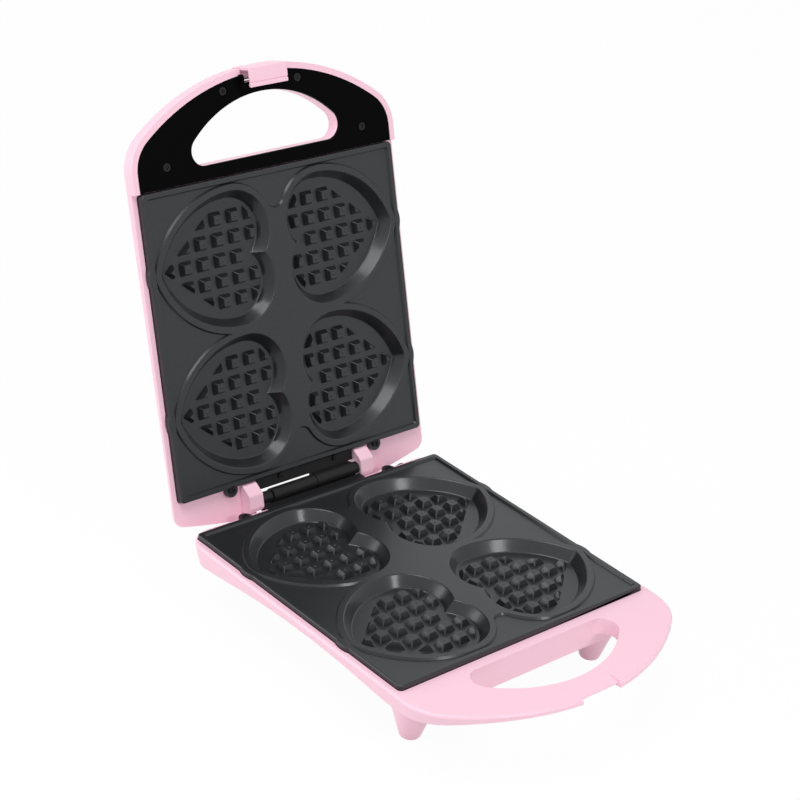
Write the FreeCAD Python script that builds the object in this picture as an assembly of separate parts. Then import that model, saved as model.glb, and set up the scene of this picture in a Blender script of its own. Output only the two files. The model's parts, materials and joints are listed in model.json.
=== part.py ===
import FreeCAD, Part
import math
import os

# Four-heart waffle maker, lid open. Millimetres, +Z up, +Y towards the hinge.
# The pieces are drawn closed, about the plates' mating plane z = 0, and then posed and placed.

V = FreeCAD.Vector
X_AXIS = V(1, 0, 0)
Y_AXIS = V(0, 1, 0)
Z_AXIS = V(0, 0, 1)

# Driving dimensions: baking plates
plate_width = 210.0
plate_length = 207.0
plate_corner = 3.0
plate_skirt = 6.0
plate_gap = 0.4
plate_clearance = 0.4
rim_width = 3.5
rim_rounding = 1.2
channel_depth = 1.5
channel_draft = 1.0
channel_corner = 2.0
web_thickness = 3.0
bump_reach = 1.3
bump_height = 4.5
lug_spacing = 126.0
lug_radius = 5.0
lug_overhang = 1.5
tab_spacing = 140.0
tab_width = 12.0
tab_reach = 2.6
tab_thickness = 1.6

# Driving dimensions: heart wells
heart_axis = 48.7
heart_centre = 36.3
lobe_radius = 28.6
lobe_offset = 16.7
side_radius = 63.9
tip_radius = 8.5
least_tip_radius = 0.3
plateau_margin = 4.3
plateau_fillet = 8.0
well_depth = 8.0
well_draft = 4.8
well_rounding = 0.8
well_floor = 3.0
well_wall = 2.5
stud_pitch = 13.84
stud_base = 9.6
stud_top = 5.9
stud_height = 4.0
stud_corner = 0.8
stud_margin = 2.4
stud_least_share = 0.15
stud_columns = 6
stud_rows = 5
nub_radius = 0.9
nub_height = 0.4

# Driving dimensions: shells, handles and feet
base_side = 5.5
base_rear_rim = 6.5
base_rear_corner = 18.0
base_ledge = 3.6
base_handle = 69.7
base_front_curve = 1.403
base_front_corner = 37.0
base_edge_rounding = 2.0
base_draft = 0.25
lid_side = 4.0
lid_rear_reach = 28.5
lid_rear_curve = 4.22
lid_rear_corner = 8.0
lid_ledge = 5.0
lid_handle = 68.5
lid_front_curve = 1.4817
lid_front_corner = 30.0
lid_handle_face = 0.8
lid_rear_thickness = 9.0
lid_front_thickness = 13.3
lid_edge_rounding = 3.4
shell_wall = 2.6
handle_roof = 3.9
pan_margin = 3.0
pan_corner = 26.0
pan_start = 6.0
pan_depth = 33.0
pan_inset = 38.0
pan_levels = (0.0, 0.3, 0.6, 0.85, 1.0)
lid_hole_offset = 10.0
lid_grip = 17.5
base_hole_offset = 7.7
base_grip = 21.7
hole_radius = 84.0
hole_corner = 10.0
apron_half = 66.0
apron_depth = 24.4
apron_lap = 16.0
apron_rounding = 1.5
floor_depth = 54.0
foot_bottom_radius = 6.6
foot_taper = 0.32
foot_top_depth = 10.0
foot_rounding = 1.6
front_foot_side = 26.0
front_foot_inset = 14.0
rear_foot_side = 51.0
rear_foot_inset = 19.5

# Lower edge of the base from the hinge to the handle: share of its length, depth below the mating plane
base_lower_edge = ((0.0, 22.4), (0.106, 19.8), (0.212, 15.6), (0.442, 11.0), (0.637, 14.0),
                   (0.736, 16.4), (0.821, 14.0), (0.912, 9.8), (1.0, 8.0))

# Driving dimensions: lid handle cover and latch
cover_inset = 4.4
cover_thickness = 2.2
cover_clearance = 0.3
cover_gap = 0.8
cover_screw_radius = 2.8
cover_screw_head = 1.4
cover_screw_sink = 0.6
cover_screw_shank = 1.3
cover_screw_length = 7.0
cover_boss_radius = 4.2
front_screw_x = 31.0
front_screw_inset = 13.2
side_screw_inset = 27.4
side_screw_offset = 14.0
latch_width = 31.0
latch_wall = 2.0
latch_proud = 0.0
latch_drop = 8.9
latch_hook_length = 13.0
latch_hook_thickness = 1.6
latch_lip_height = 0.5
latch_lip_length = 3.0
latch_groove_inset = 2.6
latch_groove_width = 0.8
latch_groove_depth = 0.6
latch_boss_radius = 3.4
latch_rounding = 0.8
latch_clearance = 0.6
latch_pin_radius = 1.5
latch_pin_fit = 0.05
latch_pin_inset = 5.6
latch_pin_height = 6.9
latch_pin_seat = 3.2
ear_thickness = 1.8
ear_height = 4.0
ear_length = 9.0
ear_rounding = 2.0
catch_depth = 5.4
catch_ramp = 8.6
catch_ramp_drop = 2.0
catch_lip = 0.8
catch_room = 10.7

# Driving dimensions: hinge
hinge_offset = 13.3
open_angle = 107.0
knuckle_radius = 5.0
knuckle_gap = 0.6
knuckle_room = 0.8
barrel_left = -33.0
barrel_split = 4.5
barrel_right = 38.5
hinge_pin_radius = 2.5
hinge_pin_fit = 0.05
pin_head_radius = 4.2
pin_groove_radius = 3.2
pin_groove = 0.9
leaf_thickness = 2.0
leaf_depth = 15.0
leaf_clearance = 0.7
leaf_end_gap = 0.6
shelf_reach = 1.5
cap_thickness = 1.0
strip_offset = 5.4
pad_margin = 1.5
pad_depth = 9.0
notch_half_width = 43.0
notch_rim = 4.8
cheek_width = 11.5
cheek_front_drop = 3.5
cheek_toe = 5.6
cheek_heel = 4.5
cheek_depth = 5.2
cheek_back = 7.2
cheek_back_depth = 2.0
cheek_rounding = 3.0
small_screw_radius = 1.4
small_head_radius = 2.6
small_head_height = 1.4
leaf_head_radius = 1.95
cross_length = 0.6
cross_width = 0.14
base_leaf_screw_length = 7.0
lid_leaf_screw_length = 3.6
plate_screw_length = 7.0

# Driving dimensions: heaters and fittings
element_radius = 3.2
element_side = 50.0
element_end = 41.5
element_bend = 18.0
element_lead_x = 10.0
element_lead_bend = 8.0
element_lead_end = 17.5
saddle_size = 14.0
saddle_fit = 0.05
saddle_x = 28.0
saddle_y = 25.0
saddle_floor = 1.2
reflector_thickness = 0.8
reflector_margin = 14.0
reflector_corner = 12.0
post_side = 33.0
post_y = 20.0
post_radius = 3.6
post_screw_length = 6.0
thermostat_radius = 8.0
thermostat_height = 6.0
blade_near = 3.2
blade_far = 4.0
blade_width = 4.8
blade_length = 4.2
spring_width = 4.0
spring_thickness = 0.8
spring_reach = 11.0
fuse_radius = 2.2
fuse_length = 16.0
fuse_start = 14.0
terminal_width = 30.0
terminal_length = 16.0
terminal_height = 9.5
terminal_y = 38.0
terminal_screw_radius = 2.2
terminal_screw_height = 1.2
gland_side = 25.0
gland_depth = 12.5
gland_radius = 5.0
gland_flange_radius = 6.8
gland_flange = 2.0
gland_length = 9.0
cord_width = 5.8
cord_thickness = 3.8
lens_x = 12.0
lens_y = -50.0
lens_radius = 4.4
lens_fit = 0.1
lens_flange = 1.4
lens_flange_radius = 6.0
lens_rise = 1.4
lens_rounding = 1.1
lamp_radius = 2.6
lamp_height = 6.0
holder_width = 46.0
holder_length = 16.0

# Places that follow from the driving dimensions
same_place = 1e-6
half_gap = plate_gap / 2
seat = half_gap + plate_skirt
web_face = half_gap + channel_depth + web_thickness
well_face = half_gap + well_depth + well_floor
element_depth = well_face + element_radius
saddle_depth = element_depth + element_radius + saddle_floor
reflector_depth = saddle_depth + reflector_thickness
pan_inside = pan_depth - shell_wall
plate_rear = plate_length / 2
plate_half = plate_width / 2
base_half_width = plate_half + base_side
base_front_radius = base_front_curve * base_half_width
base_rear = plate_rear + base_rear_rim
base_front = -plate_rear - base_handle
lid_half_width = plate_half + lid_side
lid_front_radius = lid_front_curve * lid_half_width
lid_rear_radius = lid_rear_curve * lid_half_width
lid_rear = plate_rear + lid_rear_reach
lid_front = -plate_rear - lid_handle
base_hole = (-plate_rear - base_hole_offset, base_front + base_grip)
lid_hole = (-plate_rear - lid_hole_offset, lid_front + lid_grip)
front_foot = (plate_half - front_foot_side, front_foot_inset - plate_rear)
rear_foot = (plate_half - rear_foot_side, plate_rear - rear_foot_inset)
foot_top_radius = foot_bottom_radius + foot_taper * (floor_depth - foot_top_depth)
element_half_x = plate_half - element_side
element_half_y = plate_rear - element_end
element_lead_y = plate_rear - element_lead_end
post_x = plate_half - post_side
gland_x = plate_half - gland_side
leaf_half = notch_half_width - leaf_end_gap
leaf_top = -knuckle_radius - knuckle_room
leaf_low = -knuckle_radius - leaf_depth
pan_half_x = plate_half - pan_margin
pan_half_y = plate_rear - pan_margin
hinge_y = plate_rear + hinge_offset
side_drop = side_radius - lobe_radius - lobe_offset
stud_root = well_floor / 4
tip_centre = heart_centre + math.sqrt((side_radius - tip_radius) ** 2 - side_drop ** 2)
heart_middle = (heart_centre - lobe_radius + tip_centre + tip_radius) / 2
lug_y = plate_rear + lug_overhang
notch_front = plate_rear + notch_rim
latch_front = lid_front - latch_proud
latch_pin_y = lid_front + latch_pin_inset
catch_y = base_front + catch_depth


def box(x0, x1, y0, y1, z0, z1):
    return Part.makeBox(x1 - x0, y1 - y0, z1 - z0, V(x0, y0, z0))


def rod(start, axis, radius, length):
    return Part.makeCylinder(radius, length, start, axis)


def point(centre, radius, angle, z=0.0):
    turn = math.radians(angle)
    return V(centre[0] + radius * math.cos(turn), centre[1] + radius * math.sin(turn), z)


def arc(centre, radius, start, end, z=0.0):
    middle = (start + end) / 2
    ends = [point(centre, radius, angle, z) for angle in (start, middle, end)]
    return Part.Arc(*ends).toShape()


def line(start, end):
    return Part.makeLine(V(*start), V(*end))


def wire(edges):
    return Part.Wire(Part.__sortEdges__(edges))


def prism(outline, z0, z1):
    face = Part.Face(outline)
    face.translate(V(0, 0, z0))
    return face.extrude(V(0, 0, z1 - z0))


def loft(wires, ruled=True):
    return Part.makeLoft(wires, True, ruled)


def join(first, others):
    return first.multiFuse(others).removeSplitter()


def cut(first, others):
    return first.cut(others).removeSplitter()


def mirrored(shapes, normal):
    return [shape.mirror(V(0, 0, 0), normal) for shape in shapes]


def both_sides(shapes):
    return shapes + mirrored(shapes, X_AXIS)


def four_ways(shapes):
    pair = both_sides(shapes)
    return pair + mirrored(pair, Y_AXIS)


def group(solids):
    return Part.makeCompound(solids)


# Outlines seen from above

def rectangle(half_x, half_y, corner, z=0.0):
    edges = []
    for quarter, (sx, sy) in enumerate(((1, 1), (-1, 1), (-1, -1), (1, -1))):
        centre = (sx * (half_x - corner), sy * (half_y - corner))
        edges.append(arc(centre, corner, 90 * quarter, 90 * quarter + 90, z))
    for one, other in zip(edges, edges[1:] + edges[:1]):
        edges.append(Part.makeLine(one.lastVertex().Point, other.firstVertex().Point))
    return wire(edges)


def round_end(half_width, tip, radius, corner):
    """Edges round an end that reaches y = tip, and the y where its sides start."""
    side = math.copysign(1, tip)
    middle = tip - side * radius
    rise = math.sqrt((radius - corner) ** 2 - (half_width - corner) ** 2)
    start = middle + side * rise
    turn = side * math.degrees(math.atan2(rise, half_width - corner))
    far = side * 180 - turn
    edges = [arc((half_width - corner, start), corner, 0, turn),
             arc((0, middle), radius, turn, far),
             arc((corner - half_width, start), corner, far, side * 180)]
    return edges, start


def base_outline(depth):
    """Outline of the base that far below its ledge, where the draft has drawn it in."""
    inset = base_draft * depth
    half_width = base_half_width - inset
    rear = base_rear - inset
    corner = base_rear_corner - inset
    edges, front = round_end(half_width, base_front + inset, base_front_radius - inset,
                             base_front_corner - inset)
    corner_x = half_width - corner
    corner_y = rear - corner
    edges += [arc((corner_x, corner_y), corner, 0, 90),
              arc((-corner_x, corner_y), corner, 90, 180),
              line((corner_x, rear, 0), (-corner_x, rear, 0))]
    edges += [line((side, front, 0), (side, corner_y, 0)) for side in (-half_width, half_width)]
    outline = wire(edges)
    outline.translate(V(0, 0, -base_ledge - depth))
    return outline


def lid_outline():
    edges, front = round_end(lid_half_width, lid_front, lid_front_radius, lid_front_corner)
    back_edges, rear = round_end(lid_half_width, lid_rear, lid_rear_radius, lid_rear_corner)
    sides = [line((side, front, 0), (side, rear, 0)) for side in (-lid_half_width, lid_half_width)]
    return wire(edges + back_edges + sides)


def handle_outline(inset, rear):
    """The front of the lid's outline, drawn in by inset and closed by a straight line at y = rear."""
    half_width = lid_half_width - inset
    edges, front = round_end(half_width, lid_front + inset, lid_front_radius - inset,
                             lid_front_corner - inset)
    edges += [line((side, front, 0), (side, rear, 0)) for side in (-half_width, half_width)]
    edges.append(line((-half_width, rear, 0), (half_width, rear, 0)))
    return wire(edges)


def hole_outline(hole, grow=0.0):
    """Outline of a hand hole that runs from its straight rear to its round front, grown by grow."""
    hole_rear, hole_front = hole
    middle = hole_front + hole_radius
    end_y = hole_rear - hole_corner
    end_x = math.sqrt((hole_radius - hole_corner) ** 2 - (end_y - middle) ** 2)
    turn = math.degrees(math.atan2(end_y - middle, end_x))
    corner = hole_corner + grow
    edges = [arc((end_x, end_y), corner, 90, turn),
             arc((0, middle), hole_radius + grow, turn, -180 - turn),
             arc((-end_x, end_y), corner, -180 - turn, -270),
             line((-end_x, hole_rear + grow, 0), (end_x, hole_rear + grow, 0))]
    return wire(edges)


def heart(inset, z=0.0):
    """Outline of the rear right heart, its tip towards +X, drawn in by inset."""
    lobe = lobe_radius - inset
    side = side_radius - inset
    tip = max(tip_radius - inset, least_tip_radius)
    reach = math.sqrt((side - tip) ** 2 - side_drop ** 2)
    turn = math.degrees(math.atan2(side_drop, reach))
    cleft = math.degrees(math.asin(lobe_offset / lobe))
    upper = (heart_centre, heart_axis + lobe_offset)
    lower = (heart_centre, heart_axis - lobe_offset)
    edges = [arc((heart_centre, heart_axis - side_drop), side, 90, turn, z),
             arc((heart_centre + reach, heart_axis), tip, turn, -turn, z),
             arc((heart_centre, heart_axis + side_drop), side, -turn, -90, z),
             arc(lower, lobe, 270, 180 - cleft, z),
             arc(upper, lobe, 180 + cleft, 90, z)]
    return Part.Wire(edges)


# Baking plate, drawn for the base with its rim up

def heart_pad():
    """Metal under one well, from the web down to the flat that the element lies on."""
    return loft([heart(-well_wall, -channel_depth - web_thickness / 2),
                 heart(well_draft - well_wall, -well_depth - well_floor)])


def heart_well():
    """Space of one well, with its rim and its foot rounded."""
    edge = well_rounding
    levels = [(-edge, edge), (-edge, 0), (-edge / 4, -edge / 3), (edge / 3, -edge),
              (well_draft - edge / 3, edge - well_depth), (well_draft + edge / 4, edge / 3 - well_depth),
              (well_draft + edge, -well_depth)]
    return loft([heart(inset, z) for inset, z in levels])


def stud_field():
    """Space that the studs of one well keep to: a heart with straight, drafted sides."""
    draft = stud_draft()
    field_lobe = lobe_radius - well_draft - stud_margin
    field_tip = tip_centre + tip_radius - well_draft - stud_margin
    reach = field_tip - heart_centre
    turn = math.atan2(lobe_offset, reach) + math.asin(field_lobe / math.hypot(lobe_offset, reach))
    low, high = -well_depth - stud_root, stud_height - well_depth
    outlines, radii = [], []
    for z in (low, high):
        inset = draft * (z + well_depth)
        radius = field_lobe - inset
        across = lobe_offset + radius * math.cos(turn)
        touch_x = heart_centre + radius * math.sin(turn)
        tip_x = field_tip - inset / math.sin(turn)
        corners = [(tip_x, 0), (touch_x, across), (heart_centre, lobe_offset), (heart_centre, -lobe_offset),
                   (touch_x, -across), (tip_x, 0)]
        outlines.append(Part.makePolygon([V(x, heart_axis + y, z) for x, y in corners]))
        radii.append(radius)
    lobes = [Part.makeCone(*radii, high - low, V(heart_centre, heart_axis + side * lobe_offset, low))
             for side in (-1, 1)]
    return join(loft(outlines), lobes)


def stud_draft():
    return (stud_base - stud_top) / 2 / stud_height


def heart_studs():
    """Raised grid of one well: square pyramids without tops, each with a nub, cut off near the wall."""
    low, high = -well_depth - stud_root, stud_height - well_depth
    foot_half = stud_base / 2 + stud_draft() * stud_root
    pyramid = loft([rectangle(foot_half, foot_half, stud_corner, low),
                    rectangle(stud_top / 2, stud_top / 2, stud_corner, high)])
    field = stud_field()
    studs = []
    for column in range(stud_columns):
        for row in range(stud_rows):
            place = V(heart_middle + (column - (stud_columns - 1) / 2) * stud_pitch,
                      heart_axis + (row - (stud_rows - 1) / 2) * stud_pitch, 0)
            whole = pyramid.copy()
            whole.translate(place)
            stud = whole.common(field)
            share = stud.Volume / whole.Volume
            if math.isclose(share, 1, abs_tol=same_place):
                nub = Part.makeCone(nub_radius, nub_radius / 2, nub_height, place + Z_AXIS * high)
                stud = join(stud, [nub])
            if share > stud_least_share:
                studs += stud.Solids
    return studs


def plateau():
    """Raised island that joins the four wells, with drafted sides."""
    low, high = -channel_depth, channel_depth
    slope = channel_draft * high / channel_depth
    island = loft([heart(-plateau_margin - channel_draft, low), heart(-plateau_margin + slope, high)])
    reach = lobe_radius + plateau_margin
    lobe_y = heart_axis + lobe_offset
    fillet_y = lobe_y + math.sqrt((reach + plateau_fillet) ** 2 - heart_centre ** 2)
    bridge_y = lobe_y + (fillet_y - lobe_y) * reach / (reach + plateau_fillet)
    bridge = box(-heart_centre, heart_centre, -bridge_y, bridge_y, low, high)
    bay = Part.makeCone(plateau_fillet - channel_draft, plateau_fillet + slope, high - low,
                        V(0, fillet_y, low))
    bridge = bridge.cut([bay] + mirrored([bay], Y_AXIS))
    return join(bridge, four_ways([island]))


def rounded_top(solid, radius):
    """The solid with the outer edge of its highest flat face rounded."""
    top = max(solid.Faces, key=lambda face: face.CenterOfMass.z)
    return solid.makeFillet(radius, top.OuterWire.Edges)


def plate(ledge):
    """Cast baking plate whose rear lugs stand on a shell ledge that far below the mating plane."""
    outline = rectangle(plate_half, plate_rear, plate_corner)
    hollow = prism(rectangle(plate_half - rim_width, plate_rear - rim_width, channel_corner),
                   -plate_skirt - 1, -channel_depth - web_thickness)
    body = rounded_top(prism(outline, -plate_skirt, 0), rim_rounding).cut(hollow)
    bump_radius = plate_half + bump_reach - tip_centre
    bump = rod(V(tip_centre, heart_axis, -bump_height), Z_AXIS, bump_radius, bump_height)
    lug_base = half_gap - ledge
    lug = rod(V(lug_spacing / 2, lug_y, lug_base), Z_AXIS, lug_radius, -channel_depth - lug_base)
    tab = box(-tab_width / 2, tab_width / 2, -plate_rear - tab_reach, -plate_rear + rim_width / 2,
              -plate_skirt + half_gap, -plate_skirt + half_gap + tab_thickness)
    tab.translate(V(tab_spacing / 2, 0, 0))
    body = join(body, four_ways([rounded_top(bump, rim_rounding), heart_pad()]) + both_sides([lug, tab]))
    channel_levels = []
    for slope, z in ((-channel_draft, -channel_depth), (channel_draft, channel_depth)):
        grow = slope - rim_width
        channel_levels.append(rectangle(plate_half + grow, plate_rear + grow, channel_corner + slope / 2, z))
    channel = loft(channel_levels)
    hole = rod(V(lug_spacing / 2, lug_y, -plate_skirt), Z_AXIS, small_screw_radius, plate_skirt)
    head_room = rod(V(lug_spacing / 2, lug_y, -channel_depth), Z_AXIS, small_head_radius + plate_clearance,
                    channel_depth)
    body = body.cut([channel.cut(plateau())] + four_ways([heart_well()]) + both_sides([hole, head_room]))
    body = join(body, four_ways(heart_studs()))
    body.translate(V(0, 0, -half_gap))
    return body


# Heater stack under a plate, drawn for the base

def element():
    left = [(-element_lead_x, element_lead_y, 0), (-element_lead_x, element_half_y, element_lead_bend),
            (-element_half_x, element_half_y, element_bend), (-element_half_x, -element_half_y, element_bend)]
    right = [(-x, y, bend) for x, y, bend in reversed(left)]
    corners = left + right
    points = [V(x, y, -element_depth) for x, y, bend in corners]
    edges = []
    start = points[0]
    for before, corner, after, (x, y, bend) in zip(points, points[1:], points[2:], corners[1:-1]):
        back = (before - corner).normalize()
        ahead = (after - corner).normalize()
        first = corner + back * bend
        last = corner + ahead * bend
        centre = corner + (back + ahead) * bend
        middle = centre - (back + ahead).normalize() * bend
        edges += [Part.makeLine(start, first), Part.Arc(first, middle, last).toShape()]
        start = last
    edges.append(Part.makeLine(start, points[-1]))
    ring = Part.Wire(Part.makeCircle(element_radius, points[0], Y_AXIS))
    return Part.Wire(edges).makePipeShell([ring], True, False)


def saddle():
    """One grooved block, drawn round a tube along Y, that presses the element to the wells."""
    half = saddle_size / 2
    reach = element_radius + saddle_fit
    block = box(-half, half, -half, half, -saddle_depth, -well_face)
    groove = rod(V(0, -half - 1, -element_depth), Y_AXIS, reach, saddle_size + 2)
    slot = box(-reach, reach, -half - 1, half + 1, -element_depth, 0)
    return block.cut([groove, slot])


def saddles():
    front = saddle()
    front.rotate(V(0, 0, 0), Z_AXIS, 90)
    front.translate(V(saddle_x, -element_half_y, 0))
    side = saddle()
    side.translate(V(element_half_x, saddle_y, 0))
    return group(both_sides([front, side]))


def reflector():
    sheet = prism(rectangle(pan_half_x - reflector_margin, pan_half_y - reflector_margin, reflector_corner),
                  -reflector_depth, -saddle_depth)
    hole = rod(V(post_x, post_y, -reflector_depth), Z_AXIS, small_screw_radius, reflector_thickness)
    return sheet.cut(four_ways([hole]))


def screw(seat_point, axis, length, head=small_head_radius, height=small_head_height,
          shank=small_screw_radius):
    """Screw whose head stands on seat_point and whose shank runs along axis, with a cross recess."""
    top = seat_point - axis * height
    body = rod(top, axis, head, height).fuse(rod(seat_point, axis, shank, length))
    half = head * cross_length
    thin = head * cross_width
    across = box(-half, half, -thin, thin, -height, height / 2)
    cross = across.fuse(box(-thin, thin, -half, half, -height, height / 2))
    cross.Placement = FreeCAD.Placement(top, FreeCAD.Rotation(Z_AXIS, axis))
    return body.cut(cross).removeSplitter()


def reflector_screws():
    one = screw(V(post_x, post_y, -saddle_depth), -Z_AXIS, post_screw_length)
    return group(four_ways([one]))


def plate_screws():
    one = screw(V(lug_spacing / 2, lug_y, -half_gap - channel_depth), -Z_AXIS, plate_screw_length)
    return group(both_sides([one]))


# Shells

def pan(inset=0.0):
    """Domed tray that holds the heater: a quarter ellipse in section, drawn in by inset."""
    wires = []
    for share in pan_levels:
        depth = pan_start + (pan_depth - inset - pan_start) * share
        drawn = inset + pan_inset * (1 - math.sqrt(1 - share ** 2))
        wires.append(rectangle(pan_half_x - drawn, pan_half_y - drawn, pan_corner - inset, -depth))
    return loft(wires, ruled=False)


def pan_cavity():
    """Inside of the tray, open to the plate's seat."""
    mouth = prism(rectangle(pan_half_x - shell_wall, pan_half_y - shell_wall, pan_corner - shell_wall),
                  -pan_start, 0)
    return join(pan(shell_wall), [mouth])


def plate_pocket():
    grow = plate_clearance
    pocket = prism(rectangle(plate_half + grow, plate_rear + grow, plate_corner + grow), -seat, 1)
    bump_radius = plate_half + bump_reach + grow - tip_centre
    bump = rod(V(tip_centre, heart_axis, -seat), Z_AXIS, bump_radius, seat)
    return join(pocket, four_ways([bump]))


def posts():
    """Posts that carry the reflector, with their screw holes."""
    post = rod(V(post_x, post_y, -pan_depth), Z_AXIS, post_radius, pan_depth - reflector_depth)
    return four_ways([post])


def post_holes():
    hole = rod(V(post_x, post_y, -reflector_depth - post_screw_length), Z_AXIS, small_screw_radius,
               post_screw_length + 1)
    return four_ways([hole])


def base_slab():
    """Rim of the base with its handle, drafted and arched along its lower edge."""
    reach = base_half_width + 1
    rear, front = base_rear + 1, base_front - 1
    rear_depth, front_depth = base_lower_edge[0][1], base_lower_edge[-1][1]
    curve = Part.BSplineCurve()
    length = rear - front
    curve.interpolate([V(-reach, rear - share * length, -depth) for share, depth in base_lower_edge])
    corners = [V(-reach, rear, -rear_depth), V(-reach, rear, -base_ledge),
               V(-reach, front, -base_ledge), V(-reach, front, -front_depth)]
    profile = Part.Face(wire([curve.toShape()] + Part.makePolygon(corners).Edges))
    slab = loft([base_outline(0), base_outline(rear_depth)]).common(profile.extrude(V(2 * reach, 0, 0)))
    flat = max(slab.Faces, key=lambda face: face.CenterOfMass.z)
    under = min(slab.Faces, key=lambda face: face.CenterOfMass.z)
    return slab.makeFillet(base_edge_rounding, flat.Edges + under.Edges)


def apron():
    """Wall between the hand hole and the tray."""
    front = base_hole[0]
    wall = box(-apron_half, apron_half, front, apron_lap - plate_rear, -apron_depth,
               -base_ledge - base_edge_rounding)
    under = min(wall.Faces, key=lambda face: face.CenterOfMass.z)
    return wall.makeFillet(apron_rounding, under.Edges)


def foot(x, y):
    height = floor_depth - foot_top_depth
    cone = Part.makeCone(foot_bottom_radius, foot_top_radius, height, V(x, y, -floor_depth))
    low = min(cone.Edges, key=lambda edge: edge.CenterOfMass.z)
    return cone.makeFillet(foot_rounding, [low])


def catch():
    """Space in the base handle for the latch: a notch, a ramp above its lip and room below it."""
    half = latch_width / 2 + 2 * latch_clearance
    notch = box(-half, half, base_front - 1, catch_y, -floor_depth, 0)
    ramp_end = catch_y + catch_ramp
    under = base_ledge + catch_ramp_drop + catch_lip
    room = box(-half, half, base_front - 1, catch_y + catch_room, -floor_depth, -under)
    corners = [V(-half, ramp_end, -base_ledge), V(-half, catch_y, -base_ledge - catch_ramp_drop),
               V(-half, catch_y, 0), V(-half, ramp_end, 0), V(-half, ramp_end, -base_ledge)]
    ramp = Part.Face(Part.makePolygon(corners)).extrude(V(2 * half, 0, 0))
    return [notch, room, ramp]


def tab_slots():
    slack = plate_clearance / 2
    half = tab_width / 2 + slack
    slot = box(-half, half, -plate_rear - tab_reach - slack, -plate_rear + slack,
               -seat, -seat + tab_thickness + half_gap + slack)
    slot.translate(V(tab_spacing / 2, 0, 0))
    return both_sides([slot])


def lug_holes():
    return both_sides([rod(V(lug_spacing / 2, lug_y, 0), -Z_AXIS, small_screw_radius,
                           half_gap + channel_depth + plate_screw_length + 1)])


def rear_pads():
    """Flats on the drafted rear wall: one under the hinge leaf, one round the cord gland."""
    front = base_rear - pad_depth
    leaf_pad = box(-leaf_half - pad_margin, leaf_half + pad_margin, front, base_rear, leaf_low,
                   -base_ledge - base_edge_rounding)
    gland_pad = rod(V(gland_x, front, -gland_depth), Y_AXIS, gland_flange_radius, pad_depth)
    return [leaf_pad, gland_pad]


def base_shell():
    feet = both_sides([foot(*front_foot), foot(*rear_foot)])
    shell = join(base_slab(), [pan(), apron()] + feet + rear_pads())
    hand_hole = prism(hole_outline(base_hole), -floor_depth, 0)
    shell = shell.cut([hand_hole, plate_pocket(), pan_cavity()] + catch())
    outer = join(pan(), feet)
    shell = join(shell, [post.common(outer) for post in posts()])
    holes = post_holes() + tab_slots() + lug_holes() + base_leaf_screw_holes() + [gland_hole()]
    return cut(shell, holes)


def lid_slab():
    """Rim of the lid with its handle, tapering in thickness towards the hinge."""
    reach = lid_half_width + 1
    step = -plate_rear - plate_clearance
    rear, front = lid_rear + 1, lid_front - 1
    corners = [V(-reach, rear, lid_ledge), V(-reach, rear, lid_rear_thickness),
               V(-reach, front, lid_front_thickness), V(-reach, front, lid_handle_face),
               V(-reach, step, lid_handle_face), V(-reach, step, lid_ledge), V(-reach, rear, lid_ledge)]
    profile = Part.Face(Part.makePolygon(corners)).extrude(V(2 * reach, 0, 0))
    slab = prism(lid_outline(), -1, 2 * lid_front_thickness).common(profile)
    outer = max(slab.Faces, key=lambda face: face.CenterOfMass.z)
    return slab.makeFillet(lid_edge_rounding, outer.OuterWire.Edges)


def cheeks():
    """Blocks that flank the hinge barrel and reach round its axis."""
    front = plate_rear + leaf_clearance
    back = hinge_y + cheek_back
    sides = [(front, lid_rear_thickness), (front, lid_ledge - cheek_front_drop),
             (hinge_y - cheek_toe, -cheek_depth), (hinge_y + cheek_heel, -cheek_depth),
             (back, -cheek_back_depth), (back, lid_rear_thickness)]
    corners = [V(notch_half_width, y, z) for y, z in sides + sides[:1]]
    cheek = Part.Face(Part.makePolygon(corners)).extrude(V(cheek_width, 0, 0))
    lower = [edge for edge in cheek.Edges if is_along_x(edge) and edge.CenterOfMass.z < lid_ledge]
    return both_sides([cheek.makeFillet(cheek_rounding, lower)])


def is_along_x(edge):
    one, other = [vertex.Point for vertex in edge.Vertexes]
    return math.isclose(abs(one.x - other.x), edge.Length, abs_tol=same_place)


def handle_cavity():
    top = lid_front_thickness - handle_roof
    floor = lid_handle_face + cover_thickness
    wall = cover_inset + shell_wall
    rear = -plate_rear - plate_clearance - shell_wall
    grip_wall = prism(hole_outline(lid_hole, shell_wall), floor, top)
    hollow = prism(handle_outline(wall, rear), floor, top).cut(grip_wall)
    bosses = [rod(V(x, y, floor), Z_AXIS, cover_boss_radius, top - floor) for x, y in cover_screw_places()]
    return hollow.cut(bosses)


def latch_slot():
    half = latch_width / 2 + latch_clearance
    rear = latch_pin_y + latch_boss_radius + 2 * latch_clearance
    return box(-half, half, lid_front - 1, rear, -1, 2 * lid_front_thickness)


def latch_pin_hole():
    half = latch_width / 2 + latch_clearance + latch_pin_seat
    return rod(V(-half, latch_pin_y, latch_pin_height), X_AXIS, latch_pin_radius, 2 * half)


def lens_holes():
    return both_sides([rod(V(lens_x, lens_y, 0), Z_AXIS, lens_radius + lens_fit, pan_depth + 1)])


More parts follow.
